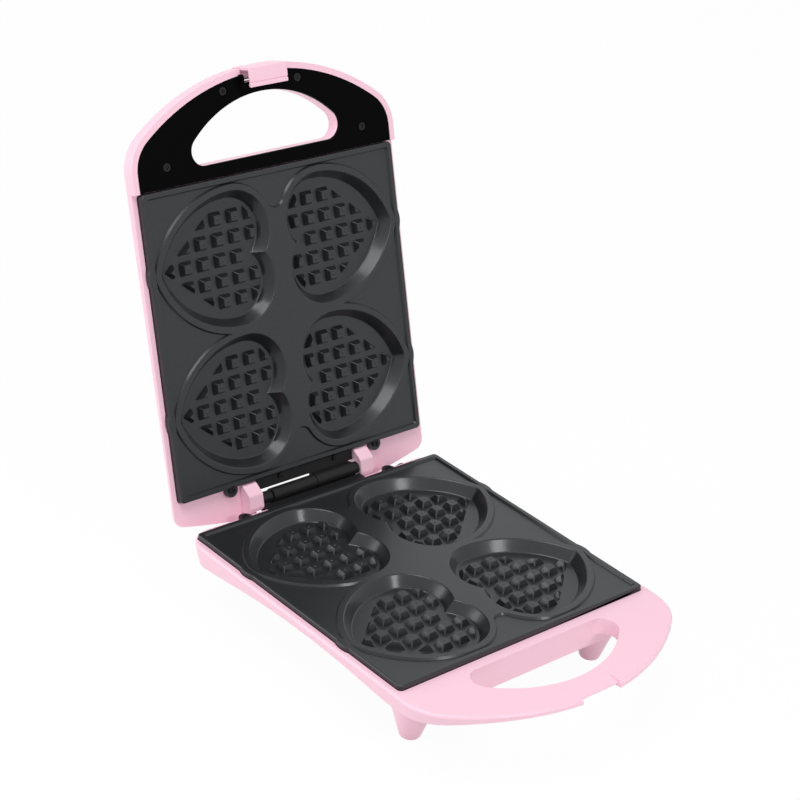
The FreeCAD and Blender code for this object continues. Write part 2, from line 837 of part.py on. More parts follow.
def lid_shell():
    flip = Z_AXIS
    shell = join(lid_slab(), mirrored([pan()], flip) + cheeks())
    notch = box(-notch_half_width, notch_half_width, notch_front, lid_rear + 1, -lid_rear, lid_rear)
    cover_space = prism(handle_outline(cover_inset - cover_clearance, -plate_rear), -1,
                        lid_handle_face + cover_thickness)
    hand_hole = prism(hole_outline(lid_hole), -1, 2 * lid_front_thickness)
    shell = shell.cut([hand_hole, cover_space, handle_cavity(), notch, latch_slot()]
                      + mirrored([plate_pocket(), pan_cavity()], flip))
    outer = mirrored([pan()], flip)[0]
    shell = join(shell, [post.common(outer) for post in mirrored(posts(), flip)])
    holes = mirrored(post_holes() + tab_slots() + lug_holes(), flip) + lens_holes() + lid_leaf_screw_holes()
    return cut(shell, holes + cover_screw_holes() + [latch_pin_hole()])


# Lid handle cover and its screws

def cover_screw_places():
    front = (front_screw_x, lid_front + front_screw_inset)
    rear = (lid_half_width - side_screw_inset, -plate_rear - side_screw_offset)
    return [(side * x, y) for x, y in (front, rear) for side in (-1, 1)]


def cover_screw_holes():
    start = lid_handle_face
    return [rod(V(x, y, start), Z_AXIS, cover_screw_shank, cover_screw_length + cover_screw_head + 1)
            for x, y in cover_screw_places()]


def handle_cover():
    rear = -plate_rear - cover_gap
    low, high = lid_handle_face, lid_handle_face + cover_thickness
    cover = prism(handle_outline(cover_inset, rear), low, high)
    half = latch_width / 2 + latch_clearance
    latch_rear = latch_pin_y + latch_boss_radius + 2 * latch_clearance
    latch_room = box(-half, half, lid_front, latch_rear, low - 1, high + 1)
    sink = cover_screw_sink + cover_screw_head
    sinks = [rod(V(x, y, low), Z_AXIS, cover_screw_radius + 2 * cover_clearance, sink)
             for x, y in cover_screw_places()]
    cover = cut(cover, [prism(hole_outline(lid_hole), low, high), latch_room] + sinks + cover_screw_holes())
    return join(cover, cover_ears())


def cover_ears():
    """Small walls of the cover that stand beside the latch."""
    inner = latch_width / 2 + latch_clearance
    front = lid_front + cover_inset
    ear = box(inner, inner + ear_thickness, front, front + ear_length, lid_handle_face - ear_height,
              lid_handle_face + cover_thickness)
    low = min(ear.Faces, key=lambda face: face.CenterOfMass.z)
    tips = [edge for edge in low.Edges if edge.Length < ear_length]
    return both_sides([ear.makeFillet(ear_rounding, tips)])


def handle_cover_screws():
    depth = lid_handle_face + cover_screw_sink + cover_screw_head
    return group([screw(V(x, y, depth), Z_AXIS, cover_screw_length, cover_screw_radius, cover_screw_head,
                        cover_screw_shank) for x, y in cover_screw_places()])


# Latch

def latch_clip():
    half = latch_width / 2
    back = latch_front + latch_wall
    arm = latch_boss_radius
    wall = box(-half, half, latch_front, back, -latch_drop, latch_pin_height + arm)
    top = box(-half, half, latch_front, latch_pin_y, latch_pin_height - arm, latch_pin_height + arm)
    boss = rod(V(-half, latch_pin_y, latch_pin_height), X_AXIS, arm, latch_width)
    hook_end = latch_front + latch_hook_length
    hook_top = latch_hook_thickness - latch_drop
    hook = box(-half, half, latch_front, hook_end, -latch_drop, hook_top)
    lip_start = hook_end - latch_lip_length
    lip_top = V(-half, hook_end - latch_lip_length / 2, hook_top + latch_lip_height)
    corners = [V(-half, lip_start, hook_top), V(-half, hook_end, hook_top), lip_top,
               V(-half, lip_start, hook_top)]
    lip = Part.Face(Part.makePolygon(corners)).extrude(V(latch_width, 0, 0))
    groove_end = hook_end - latch_groove_inset
    groove = box(-half, half, groove_end - latch_groove_width, groove_end, -latch_drop,
                 latch_groove_depth - latch_drop)
    clip = join(wall, [top, boss, hook, lip]).cut(groove)
    outer = [edge for edge in clip.Edges if is_long_corner(edge, latch_front)]
    clip = clip.makeFillet(latch_rounding, outer)
    bore = rod(V(-half, latch_pin_y, latch_pin_height), X_AXIS, latch_pin_radius + latch_pin_fit,
               latch_width)
    return clip.cut(bore)


def is_long_corner(edge, y):
    """Whether an edge runs along X on the plane of that y."""
    ends = [vertex.Point for vertex in edge.Vertexes]
    on_plane = all(math.isclose(end.y, y, abs_tol=same_place) for end in ends)
    return len(ends) == 2 and on_plane and math.isclose(ends[0].z, ends[1].z, abs_tol=same_place)


def latch_pin():
    return latch_pin_hole()


# Hinge

def knuckle(left, right):
    return rod(V(left, hinge_y, 0), X_AXIS, knuckle_radius, right - left)


def pin_bore(fit):
    return rod(V(barrel_left - 1, hinge_y, 0), X_AXIS, hinge_pin_radius + fit, barrel_right - barrel_left + 2)


def base_leaf_screw_places():
    height = (leaf_top + leaf_low) / 2
    return [V(side * leaf_half / 2, base_rear, height) for side in (-1, 1)]


def base_leaf_screw_holes():
    return [rod(place, -Y_AXIS, small_screw_radius, base_leaf_screw_length)
            for place in base_leaf_screw_places()]


def hinge_base_leaf():
    left, right = barrel_left, barrel_split - knuckle_gap / 2
    back = base_rear + leaf_thickness
    cap_top = cap_thickness - base_ledge
    upright = box(-leaf_half, leaf_half, base_rear, back, leaf_low, cap_top)
    cap = box(-leaf_half, leaf_half, plate_rear + plate_clearance, back, -base_ledge, cap_top)
    shelf = box(-leaf_half, leaf_half, base_rear, hinge_y + shelf_reach, leaf_top - leaf_thickness, leaf_top)
    web = box(left, right, base_rear, hinge_y, leaf_top, -knuckle_radius + leaf_thickness)
    leaf = join(knuckle(left, right), [upright, cap, shelf, web])
    holes = [rod(place, Y_AXIS, small_screw_radius, leaf_thickness) for place in base_leaf_screw_places()]
    return cut(leaf, [pin_bore(0)] + holes)


def hinge_base_screws():
    return group([screw(place + Y_AXIS * leaf_thickness, -Y_AXIS, base_leaf_screw_length + leaf_thickness)
                  for place in base_leaf_screw_places()])


def lid_leaf_screw_places():
    y = (plate_rear + leaf_clearance + notch_front) / 2
    reach = (barrel_right - barrel_left) / 3
    middle = (barrel_right + barrel_left) / 2
    return [V(middle + side * reach, y, lid_ledge) for side in (-1, 1)]


def lid_leaf_screw_holes():
    return [rod(place, Z_AXIS, small_screw_radius, lid_leaf_screw_length)
            for place in lid_leaf_screw_places()]


def hinge_lid_leaf():
    left, right = barrel_split + knuckle_gap / 2, barrel_right
    low = lid_ledge - leaf_thickness
    strip = box(-leaf_half, leaf_half, plate_rear + leaf_clearance, hinge_y - strip_offset, low, lid_ledge)
    web = box(left, right, plate_rear + leaf_clearance, hinge_y, low, lid_ledge)
    neck = box(left, right, hinge_y - knuckle_radius, hinge_y, 0, lid_ledge)
    leaf = join(knuckle(left, right), [strip, web, neck])
    holes = [rod(place, -Z_AXIS, small_screw_radius, leaf_thickness) for place in lid_leaf_screw_places()]
    return cut(leaf, [pin_bore(hinge_pin_fit)] + holes)


def hinge_lid_screws():
    return group([screw(place - Z_AXIS * leaf_thickness, Z_AXIS, lid_leaf_screw_length + leaf_thickness,
                        head=leaf_head_radius) for place in lid_leaf_screw_places()])


def hinge_pin():
    left = barrel_left
    right = barrel_right + knuckle_gap
    spans = [(-leaf_half, left - pin_groove, pin_head_radius), (left - pin_groove, left, pin_groove_radius),
             (left, right, hinge_pin_radius), (right, leaf_half, pin_head_radius)]
    steps = [rod(V(start, hinge_y, 0), X_AXIS, radius, end - start) for start, end, radius in spans]
    return join(steps[0], steps[1:])


# Electrical fittings

def thermostat():
    can = rod(V(0, 0, -web_face - thermostat_height), Z_AXIS, thermostat_radius, thermostat_height)
    low = -web_face - thermostat_height
    blade = box(blade_near, blade_far, -blade_width / 2, blade_width / 2, low - blade_length, low)
    return join(can, both_sides([blade]))


def thermostat_spring():
    """Bent strip between the reflector and the thermostat."""
    low, high = -saddle_depth, -web_face - thermostat_height
    half = spring_thickness
    start = -spring_reach / 2
    corners = [(start, high), (-start, high), (-start, low), (start, low), (start, low + half),
               (-start - half, low + half), (-start - half, high - half), (start, high - half), (start, high)]
    outline = Part.makePolygon([V(-spring_width / 2, y, z) for y, z in corners])
    return Part.Face(outline).extrude(V(spring_width, 0, 0))


def thermal_fuse():
    return rod(V(0, fuse_start, -web_face - fuse_radius), Y_AXIS, fuse_radius, fuse_length)


def terminal_block():
    low = -pan_inside
    block = box(-terminal_width / 2, terminal_width / 2, terminal_y - terminal_length / 2,
                terminal_y + terminal_length / 2, low, low + terminal_height)
    wells = [rod(place, Z_AXIS, terminal_screw_radius, terminal_height) for place in terminal_screw_places()]
    return block.cut(wells)


def terminal_screw_places():
    reach = terminal_width / 4
    return [V(side * reach, terminal_y + end * terminal_length / 4, -pan_inside + terminal_height / 2)
            for side in (-1, 1) for end in (-1, 1)]


def terminal_screws():
    return group([rod(place, Z_AXIS, terminal_screw_radius, terminal_screw_height)
                  for place in terminal_screw_places()])


def gland_hole():
    return rod(V(gland_x, base_rear + 1, -gland_depth), -Y_AXIS, gland_radius, gland_length + 1)


def cord_gland():
    start = V(gland_x, base_rear, -gland_depth)
    sleeve = rod(start, -Y_AXIS, gland_radius, gland_length)
    flange = rod(start, Y_AXIS, gland_flange_radius, gland_flange)
    half = (cord_width - cord_thickness) / 2
    long = gland_length + gland_flange
    mouth = start + Y_AXIS * gland_flange
    ends = [rod(mouth + X_AXIS * (side * half), -Y_AXIS, cord_thickness / 2, long) for side in (-1, 1)]
    middle = box(gland_x - half, gland_x + half, base_rear - gland_length, base_rear + gland_flange,
                 -gland_depth - cord_thickness / 2, -gland_depth + cord_thickness / 2)
    return cut(sleeve.fuse(flange), ends + [middle])


def indicator_lenses():
    body = rod(V(lens_x, lens_y, pan_inside - lens_flange), Z_AXIS, lens_radius,
               lens_flange + shell_wall + lens_rise)
    top = max(body.Edges, key=lambda edge: edge.CenterOfMass.z)
    body = body.makeFillet(lens_rounding, [top])
    flange = rod(V(lens_x, lens_y, pan_inside - lens_flange), Z_AXIS, lens_flange_radius, lens_flange)
    return group(both_sides([body.fuse(flange).removeSplitter()]))


def indicator_lamps():
    top = pan_inside - lens_flange
    lamp = rod(V(lens_x, lens_y, top - lamp_height), Z_AXIS, lamp_radius, lamp_height)
    low = min(lamp.Edges, key=lambda edge: edge.CenterOfMass.z)
    return group(both_sides([lamp.makeChamfer(lamp_radius / 4, [low])]))


def lamp_holder():
    return box(-holder_width / 2, holder_width / 2, lens_y - holder_length / 2, lens_y + holder_length / 2,
               reflector_depth, pan_inside - lens_flange - lamp_height)


# Assembly: every piece drawn closed, by the body that it rides on

def on_lid(shape):
    return shape.mirror(V(0, 0, 0), Z_AXIS)


def base_pieces():
    return {"base_shell": base_shell(), "base_plate": plate(base_ledge), "base_heating_element": element(),
            "base_element_saddles": saddles(), "base_reflector": reflector(),
            "base_reflector_screws": reflector_screws(), "base_plate_screws": plate_screws(),
            "thermostat": thermostat(), "thermostat_spring": thermostat_spring(),
            "thermal_fuse": thermal_fuse(), "terminal_block": terminal_block(),
            "terminal_screws": terminal_screws(), "cord_gland": cord_gland(),
            "hinge_base_leaf": hinge_base_leaf(), "hinge_base_screws": hinge_base_screws(),
            "hinge_pin": hinge_pin()}


def lid_pieces():
    return {"lid_shell": lid_shell(), "lid_plate": on_lid(plate(lid_ledge)),
            "lid_heating_element": on_lid(element()), "lid_element_saddles": on_lid(saddles()),
            "lid_reflector": on_lid(reflector()), "lid_reflector_screws": on_lid(reflector_screws()),
            "lid_plate_screws": on_lid(plate_screws()),
            "handle_cover": handle_cover(), "handle_cover_screws": handle_cover_screws(),
            "hinge_lid_leaf": hinge_lid_leaf(), "hinge_lid_screws": hinge_lid_screws(),
            "indicator_lenses": indicator_lenses(), "indicator_lamps": indicator_lamps(),
            "lamp_holder": lamp_holder(), "latch_pin": latch_pin()}


def latch_pieces():
    return {"latch_clip": latch_clip()}


def posed():
    """All pieces with the lid open, standing on z = 0 with the origin under the middle of their box."""
    pieces = base_pieces()
    for name, shape in {**lid_pieces(), **latch_pieces()}.items():
        shape.rotate(V(0, hinge_y, 0), X_AXIS, -open_angle)
        pieces[name] = shape
    limits = group(list(pieces.values())).optimalBoundingBox(False, False)
    for shape in pieces.values():
        shape.translate(V(0, -limits.Center.y, floor_depth))
    return pieces


os.makedirs("parts", exist_ok=True)
for name, shape in posed().items():
    shape.exportStep("parts/" + name + ".step")
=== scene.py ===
import json
import math

import bmesh
import bpy
from bpy.props import FloatProperty, FloatVectorProperty, PointerProperty
from mathutils import Matrix, Vector

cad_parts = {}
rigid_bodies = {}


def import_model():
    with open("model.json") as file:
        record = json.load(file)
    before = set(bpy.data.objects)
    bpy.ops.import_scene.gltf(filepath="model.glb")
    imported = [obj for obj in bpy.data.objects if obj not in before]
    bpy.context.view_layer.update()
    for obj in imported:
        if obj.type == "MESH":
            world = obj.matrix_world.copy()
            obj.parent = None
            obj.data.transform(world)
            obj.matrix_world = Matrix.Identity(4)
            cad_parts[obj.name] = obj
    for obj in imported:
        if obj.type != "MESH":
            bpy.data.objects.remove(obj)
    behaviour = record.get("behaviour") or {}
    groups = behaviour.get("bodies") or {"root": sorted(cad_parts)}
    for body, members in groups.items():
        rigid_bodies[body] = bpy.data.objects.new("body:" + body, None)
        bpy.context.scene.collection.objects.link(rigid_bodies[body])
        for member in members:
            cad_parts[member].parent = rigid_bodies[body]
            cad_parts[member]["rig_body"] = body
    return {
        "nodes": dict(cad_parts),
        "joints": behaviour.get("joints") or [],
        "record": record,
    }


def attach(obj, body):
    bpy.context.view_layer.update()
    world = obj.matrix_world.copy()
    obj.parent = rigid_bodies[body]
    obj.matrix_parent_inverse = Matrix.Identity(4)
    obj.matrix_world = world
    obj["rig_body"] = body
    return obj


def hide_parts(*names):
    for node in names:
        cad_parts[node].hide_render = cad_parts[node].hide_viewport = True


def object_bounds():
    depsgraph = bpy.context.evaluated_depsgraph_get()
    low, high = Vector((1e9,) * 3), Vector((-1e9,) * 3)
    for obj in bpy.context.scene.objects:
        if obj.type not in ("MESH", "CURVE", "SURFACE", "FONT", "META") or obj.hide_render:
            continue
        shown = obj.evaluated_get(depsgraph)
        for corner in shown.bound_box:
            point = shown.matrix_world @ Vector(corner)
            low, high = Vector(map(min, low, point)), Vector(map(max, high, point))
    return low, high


bl_info = {
    "name": "Heart waffle maker",
    "version": (1, 0, 0),
    "blender": (4, 5, 0),
    "location": "3D View > Sidebar > Waffle",
    "description": "Finishes the mouldings, plates and hinge of a heart waffle maker and sets its stage",
    "category": "Object",
}

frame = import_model()
cad_box = [list(corner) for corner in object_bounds()]

MILLIMETRE = 0.001

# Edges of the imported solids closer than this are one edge, and faces flatter than this are one face
MERGE_DISTANCE = 0.002 * MILLIMETRE
FLAT_ANGLE = math.radians(0.3)
CREASE_ANGLE = math.radians(28)

# A cast flat that is smaller than this, in square metres, keeps its edge as it is
LEAST_FLAT = 4e-6

# How much of the floor's look is plain white, with the rest left to its shadow
WHITE_SHARE = 0.96

# Lamps: the place of each, and its width and height, in metres
LAMPS = {
    "Top lamp": ((-0.75, -0.1, 2.1), (1.1, 1.1)),
    "Left lamp": ((-1.4, 0.95, 0.5), (0.9, 0.6)),
    "Front lamp": ((0.05, -1.65, 1.15), (0.42, 0.42)),
}

# Camera: where it stands from the middle of the lid's hinge in metres, and how it is turned in degrees
CAMERA_FROM_HINGE = (-0.86239, -0.99626, 0.75289)
CAMERA_AZIMUTH = -43.35
CAMERA_ELEVATION = 27.37
CAMERA_ROLL = 5.95
CAMERA_SENSOR = 36.0


class MouldingSettings(bpy.types.PropertyGroup):
    """Pink shells and latch"""
    pink: FloatVectorProperty(
        name="Pink", description="Colour of the moulded shells",
        subtype="COLOR", size=3, min=0.0, max=1.0, default=(0.95, 0.615, 0.73))
    deep_pink: FloatVectorProperty(
        name="Deep pink", description="Faint flow marks in the moulding",
        subtype="COLOR", size=3, min=0.0, max=1.0, default=(0.93, 0.585, 0.70))
    edge: FloatProperty(
        name="Edge rounding", description="Rounding of the small moulded edges",
        subtype="DISTANCE", unit="LENGTH", min=0.0, default=0.5 * MILLIMETRE)


class PlateSettings(bpy.types.PropertyGroup):
    """Baking plates"""
    coat: FloatVectorProperty(
        name="Coat", description="Colour of the non-stick coat",
        subtype="COLOR", size=3, min=0.0, max=1.0, default=(0.008, 0.009, 0.010))
    fleck: FloatVectorProperty(
        name="Fleck", description="Colour of the flecks in the coat",
        subtype="COLOR", size=3, min=0.0, max=1.0, default=(0.022, 0.023, 0.026))
    edge: FloatProperty(
        name="Edge rounding", description="Rounding of the cast edges",
        subtype="DISTANCE", unit="LENGTH", min=0.0, default=0.3 * MILLIMETRE)


class FittingSettings(bpy.types.PropertyGroup):
    """Handle cover, hinge and inner fittings"""
    black: FloatVectorProperty(
        name="Black", description="Colour of the polished handle cover",
        subtype="COLOR", size=3, min=0.0, max=1.0, default=(0.003, 0.003, 0.0032))
    hinge: FloatVectorProperty(
        name="Hinge black", description="Colour of the painted hinge",
        subtype="COLOR", size=3, min=0.0, max=1.0, default=(0.008, 0.008, 0.009))
    edge: FloatProperty(
        name="Edge rounding", description="Rounding of the cover and the hinge",
        subtype="DISTANCE", unit="LENGTH", min=0.0, default=0.3 * MILLIMETRE)


class StageSettings(bpy.types.PropertyGroup):
    """Floor, lamps and camera"""
    floor: FloatVectorProperty(
        name="Floor", description="Colour of the floor",
        subtype="COLOR", size=3, min=0.0, max=1.0, default=(0.92, 0.92, 0.92))
    floor_radius: FloatProperty(
        name="Floor radius", description="Reach of the floor",
        subtype="DISTANCE", unit="LENGTH", min=1.0, default=7.0)
    lens: FloatProperty(
        name="Lens", description="Focal length of the camera in millimetres",
        min=10.0, default=98.76)
    top: FloatProperty(
        name="Top lamp", description="Power of the large lamp above",
        subtype="POWER", unit="POWER", min=0.0, default=21.0)
    left: FloatProperty(
        name="Left lamp", description="Power of the low lamp behind the left",
        subtype="POWER", unit="POWER", min=0.0, default=7.0)
    front: FloatProperty(
        name="Front lamp", description="Power of the small lamp in front",
        subtype="POWER", unit="POWER", min=0.0, default=8.0)
    ambient: FloatProperty(
        name="Ambient", description="Strength of the even light from all round",
        min=0.0, default=0.5)


# Selecting and shaping

def deselect():
    if bpy.context.object and bpy.context.object.mode != "OBJECT":
        bpy.ops.object.mode_set(mode="OBJECT")
    bpy.ops.object.select_all(action="DESELECT")


def take(piece):
    """Makes a piece the only one selected."""
    deselect()
    piece.select_set(True)
    bpy.context.view_layer.objects.active = piece


def copy_of(node, name):
    """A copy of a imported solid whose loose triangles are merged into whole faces."""
    piece = bpy.data.objects.new(name, frame["nodes"][node].data.copy())
    piece.data.materials.clear()
    bpy.context.scene.collection.objects.link(piece)
    take(piece)
    bpy.ops.mesh.customdata_custom_splitnormals_clear()
    bpy.ops.object.mode_set(mode="EDIT")
    bpy.ops.mesh.select_mode(type="VERT")
    bpy.ops.mesh.select_all(action="SELECT")
    bpy.ops.mesh.remove_doubles(threshold=MERGE_DISTANCE)
    bpy.ops.mesh.dissolve_limited(angle_limit=FLAT_ANGLE)
    bpy.ops.object.mode_set(mode="OBJECT")
    return piece


def round_edges(piece, width, segments=2):
    take(piece)
    bevel = piece.modifiers.new("Rounded edges", "BEVEL")
    bevel.width = width
    bevel.segments = segments
    bevel.limit_method = "ANGLE"
    bevel.angle_limit = CREASE_ANGLE
    bevel.use_clamp_overlap = True
    bpy.ops.object.modifier_apply(modifier=bevel.name)
    smooth(piece)


def round_brims(piece, width, segments=2):
    """Rounds the outward edges of the flats that lie level with the widest face."""
    take(piece)
    bpy.ops.object.mode_set(mode="EDIT")
    bpy.ops.mesh.select_mode(type="EDGE")
    bpy.ops.mesh.select_all(action="DESELECT")
    mesh = bmesh.from_edit_mesh(piece.data)
    up = max(mesh.faces, key=lambda face: face.calc_area()).normal.copy()
    flats = {face for face in mesh.faces
             if face.calc_area() > LEAST_FLAT and face.normal.angle(up) < FLAT_ANGLE}
    for edge in mesh.edges:
        sharp = len(edge.link_faces) == 2 and edge.calc_face_angle_signed() > CREASE_ANGLE
        edge.select_set(sharp and not flats.isdisjoint(edge.link_faces))
    bmesh.update_edit_mesh(piece.data)
    bpy.ops.mesh.bevel(offset=width, segments=segments, affect="EDGES", clamp_overlap=False)
    bpy.ops.object.mode_set(mode="OBJECT")
    smooth(piece)


def smooth(piece):
    """Smooth shading across shallow angles, with the flat faces kept flat."""
    take(piece)
    bpy.ops.object.shade_smooth_by_angle(angle=CREASE_ANGLE)
    weighted = piece.modifiers.new("Flat faces stay flat", "WEIGHTED_NORMAL")
    weighted.keep_sharp = True
    bpy.ops.object.modifier_apply(modifier=weighted.name)


def hand_over(piece, body, material, slot, *nodes):
    """Gives a finished piece its material and body, and hides the nodes that it stands for."""
    piece.data.materials.clear()
    piece.data.materials.append(material)
    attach(piece, body)
    if nodes:
        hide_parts(*nodes)


def paint(node, material):
    """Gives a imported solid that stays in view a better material."""
    piece = frame["nodes"][node]
    piece.data.materials.clear()
    piece.data.materials.append(material)


# Materials

def new_group(name, inputs, outputs):
    """An empty shader node group with named sockets: (name, type, default) for each input."""
    group = bpy.data.node_groups.new(name, "ShaderNodeTree")
    for label, kind, default in inputs:
        socket = group.interface.new_socket(label, in_out="INPUT", socket_type=kind)
        socket.default_value = default
    for label, kind in outputs:
        group.interface.new_socket(label, in_out="OUTPUT", socket_type=kind)
    return group, group.nodes.new("NodeGroupInput"), group.nodes.new("NodeGroupOutput")


def grain_group():
    """Fine grain and broad blotches of a moulded or sprayed surface."""
    group, start, end = new_group(
        "Surface grain",
        [("Grain scale", "NodeSocketFloat", 900.0), ("Blotch scale", "NodeSocketFloat", 14.0)],
        [("Grain", "NodeSocketFloat"), ("Blotch", "NodeSocketFloat")])
    place = group.nodes.new("ShaderNodeTexCoord")
    for label, scale, detail in (("Grain", "Grain scale", 2.0), ("Blotch", "Blotch scale", 3.0)):
        noise = group.nodes.new("ShaderNodeTexNoise")
        noise.inputs["Detail"].default_value = detail
        group.links.new(place.outputs["Object"], noise.inputs["Vector"])
        group.links.new(start.outputs[scale], noise.inputs["Scale"])
        group.links.new(noise.outputs["Fac"], end.inputs[label])
    return group


def fleck_group():
    """Small separate flecks, as in a sprayed non-stick coat."""
    group, start, end = new_group(
        "Coat flecks",
        [("Fleck scale", "NodeSocketFloat", 700.0), ("Fleck size", "NodeSocketFloat", 0.22)],
        [("Fleck", "NodeSocketFloat")])
    place = group.nodes.new("ShaderNodeTexCoord")
    cells = group.nodes.new("ShaderNodeTexVoronoi")
    group.links.new(place.outputs["Object"], cells.inputs["Vector"])
    group.links.new(start.outputs["Fleck scale"], cells.inputs["Scale"])
    near = group.nodes.new("ShaderNodeMath")
    near.operation = "LESS_THAN"
    group.links.new(cells.outputs["Distance"], near.inputs[0])
    group.links.new(start.outputs["Fleck size"], near.inputs[1])
    group.links.new(near.outputs[0], end.inputs["Fleck"])
    return group


class Finish:
    """A material under way: its node tree, its shader and a few ways to wire them."""

    def __init__(self, name, **values):
        self.material = bpy.data.materials.new(name)
        self.material.use_nodes = True
        self.tree = self.material.node_tree
        self.shader = self.tree.nodes["Principled BSDF"]
        for socket, value in values.items():
            self.shader.inputs[socket.replace("_", " ")].default_value = value

    def group(self, group, **values):
        node = self.tree.nodes.new("ShaderNodeGroup")
        node.node_tree = group
        for socket, value in values.items():
            node.inputs[socket.replace("_", " ")].default_value = value
        return node

    def colours(self, mask, low, high):
        """Base colour that runs from low to high along a mask."""
        mix = self.tree.nodes.new("ShaderNodeMix")
        mix.data_type = "RGBA"
        mix.inputs["A"].default_value = (*low, 1.0)
        mix.inputs["B"].default_value = (*high, 1.0)
        self.tree.links.new(mask, mix.inputs["Factor"])
        self.tree.links.new(mix.outputs["Result"], self.shader.inputs["Base Color"])

    def roughness(self, mask, low, high):
        spread = self.tree.nodes.new("ShaderNodeMapRange")
        spread.inputs["To Min"].default_value = low
        spread.inputs["To Max"].default_value = high
        self.tree.links.new(mask, spread.inputs["Value"])
        self.tree.links.new(spread.outputs["Result"], self.shader.inputs["Roughness"])

    def bump(self, height, depth, strength):
        bump = self.tree.nodes.new("ShaderNodeBump")
        bump.inputs["Distance"].default_value = depth
        bump.inputs["Strength"].default_value = strength
        self.tree.links.new(height, bump.inputs["Height"])
        self.tree.links.new(bump.outputs["Normal"], self.shader.inputs["Normal"])


def opaque(colour):
    return (*colour, 1.0)


def shared_group(name, build):
    return bpy.data.node_groups.get(name) or build()


def grain():
    return shared_group("Surface grain", grain_group)


def flecks():
    return shared_group("Coat flecks", fleck_group)


def shared_material(name, build):
    return bpy.data.materials.get(name) or build(name)


def pink_plastic(name="Pink plastic"):
    look = bpy.context.scene.waffle_moulding
    finish = Finish(name, Specular_IOR_Level=0.45, Coat_Weight=0.12, Coat_Roughness=0.2)
    surface = finish.group(grain(), Grain_scale=1400.0, Blotch_scale=9.0)
    finish.colours(surface.outputs["Blotch"], look.deep_pink, look.pink)
    finish.roughness(surface.outputs["Blotch"], 0.34, 0.44)
    finish.bump(surface.outputs["Grain"], 0.04 * MILLIMETRE, 0.25)
    return finish.material


def plate_coat(name="Non-stick coat"):
    look = bpy.context.scene.waffle_plate
    finish = Finish(name, Specular_IOR_Level=0.3, Specular_Tint=(0.88, 0.93, 1.0, 1.0), Coat_Weight=0.5,
                    Coat_Roughness=0.2)
    surface = finish.group(grain(), Grain_scale=1800.0, Blotch_scale=22.0)
    spots = finish.group(flecks(), Fleck_scale=900.0, Fleck_size=0.2)
    finish.colours(spots.outputs["Fleck"], look.coat, look.fleck)
    finish.roughness(surface.outputs["Blotch"], 0.40, 0.50)
    finish.bump(surface.outputs["Grain"], 0.05 * MILLIMETRE, 0.3)
    return finish.material


def polished_black(name="Polished black"):
    look = bpy.context.scene.waffle_fitting
    finish = Finish(name, Base_Color=opaque(look.black), Specular_IOR_Level=0.01)
    surface = finish.group(grain(), Grain_scale=60.0, Blotch_scale=16.0)
    finish.roughness(surface.outputs["Blotch"], 0.10, 0.20)
    finish.bump(surface.outputs["Grain"], 0.05 * MILLIMETRE, 0.06)
    return finish.material


def hinge_paint(name="Hinge paint"):
    look = bpy.context.scene.waffle_fitting
    finish = Finish(name, Base_Color=opaque(look.hinge), Specular_IOR_Level=0.22)
    surface = finish.group(grain(), Grain_scale=1500.0, Blotch_scale=60.0)
    finish.roughness(surface.outputs["Blotch"], 0.42, 0.58)
    finish.bump(surface.outputs["Grain"], 0.05 * MILLIMETRE, 0.3)
    return finish.material


def bare_metal(name, low, high, rough_low, rough_high, scale):
    """Metal whose tone and gloss wander a little over its surface."""
    finish = Finish(name, Metallic=1.0)
    surface = finish.group(grain(), Grain_scale=scale, Blotch_scale=45.0)
    finish.colours(surface.outputs["Blotch"], low, high)
    finish.roughness(surface.outputs["Grain"], rough_low, rough_high)
    finish.bump(surface.outputs["Grain"], 0.03 * MILLIMETRE, 0.2)
    return finish.material


def screw_steel(name="Screw steel"):
    return bare_metal(name, (0.05, 0.05, 0.052), (0.09, 0.09, 0.095), 0.3, 0.45, 700.0)


def heater_steel(name="Heater steel"):
    return bare_metal(name, (0.2, 0.17, 0.15), (0.36, 0.34, 0.33), 0.35, 0.55, 300.0)


def rolled_aluminium(name="Rolled aluminium"):
    return bare_metal(name, (0.68, 0.68, 0.69), (0.82, 0.82, 0.83), 0.18, 0.34, 500.0)


def turned_brass(name="Turned brass"):
    return bare_metal(name, (0.55, 0.38, 0.14), (0.72, 0.53, 0.24), 0.2, 0.36, 500.0)


def ceramic(name="Ceramic"):
    finish = Finish(name, Specular_IOR_Level=0.4)
    surface = finish.group(grain(), Grain_scale=900.0, Blotch_scale=40.0)
    finish.colours(surface.outputs["Blotch"], (0.68, 0.65, 0.6), (0.8, 0.78, 0.74))
    finish.roughness(surface.outputs["Blotch"], 0.5, 0.7)
    finish.bump(surface.outputs["Grain"], 0.06 * MILLIMETRE, 0.35)
    return finish.material


def lens_plastic(name="Lens plastic"):
    finish = Finish(name, Specular_IOR_Level=0.6, Coat_Weight=0.4, Coat_Roughness=0.05)
    surface = finish.group(grain(), Grain_scale=400.0, Blotch_scale=80.0)
    finish.colours(surface.outputs["Blotch"], (0.42, 0.02, 0.012), (0.6, 0.045, 0.02))
    finish.roughness(surface.outputs["Grain"], 0.08, 0.16)
    return finish.material


FINISHES = {
    "pink_plastic": ("Pink plastic", pink_plastic),
    "nonstick": ("Non-stick coat", plate_coat),
    "black_plastic": ("Polished black", polished_black),
    "black_steel": ("Hinge paint", hinge_paint),
    "screw_steel": ("Screw steel", screw_steel),
    "heater_steel": ("Heater steel", heater_steel),
    "aluminium": ("Rolled aluminium", rolled_aluminium),
    "ceramic": ("Ceramic", ceramic),
    "brass": ("Turned brass", turned_brass),
    "lens": ("Lens plastic", lens_plastic),
}


def finish_of(slot):
    """The material of one of the record's slots, built when it is first asked for."""
    return shared_material(*FINISHES[slot])


def slot_of(node):
    return next(part["material_slot"] for part in frame["record"]["subparts"] if part["node"] == node)


def body_of(node):
    return frame["nodes"][node]["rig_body"]


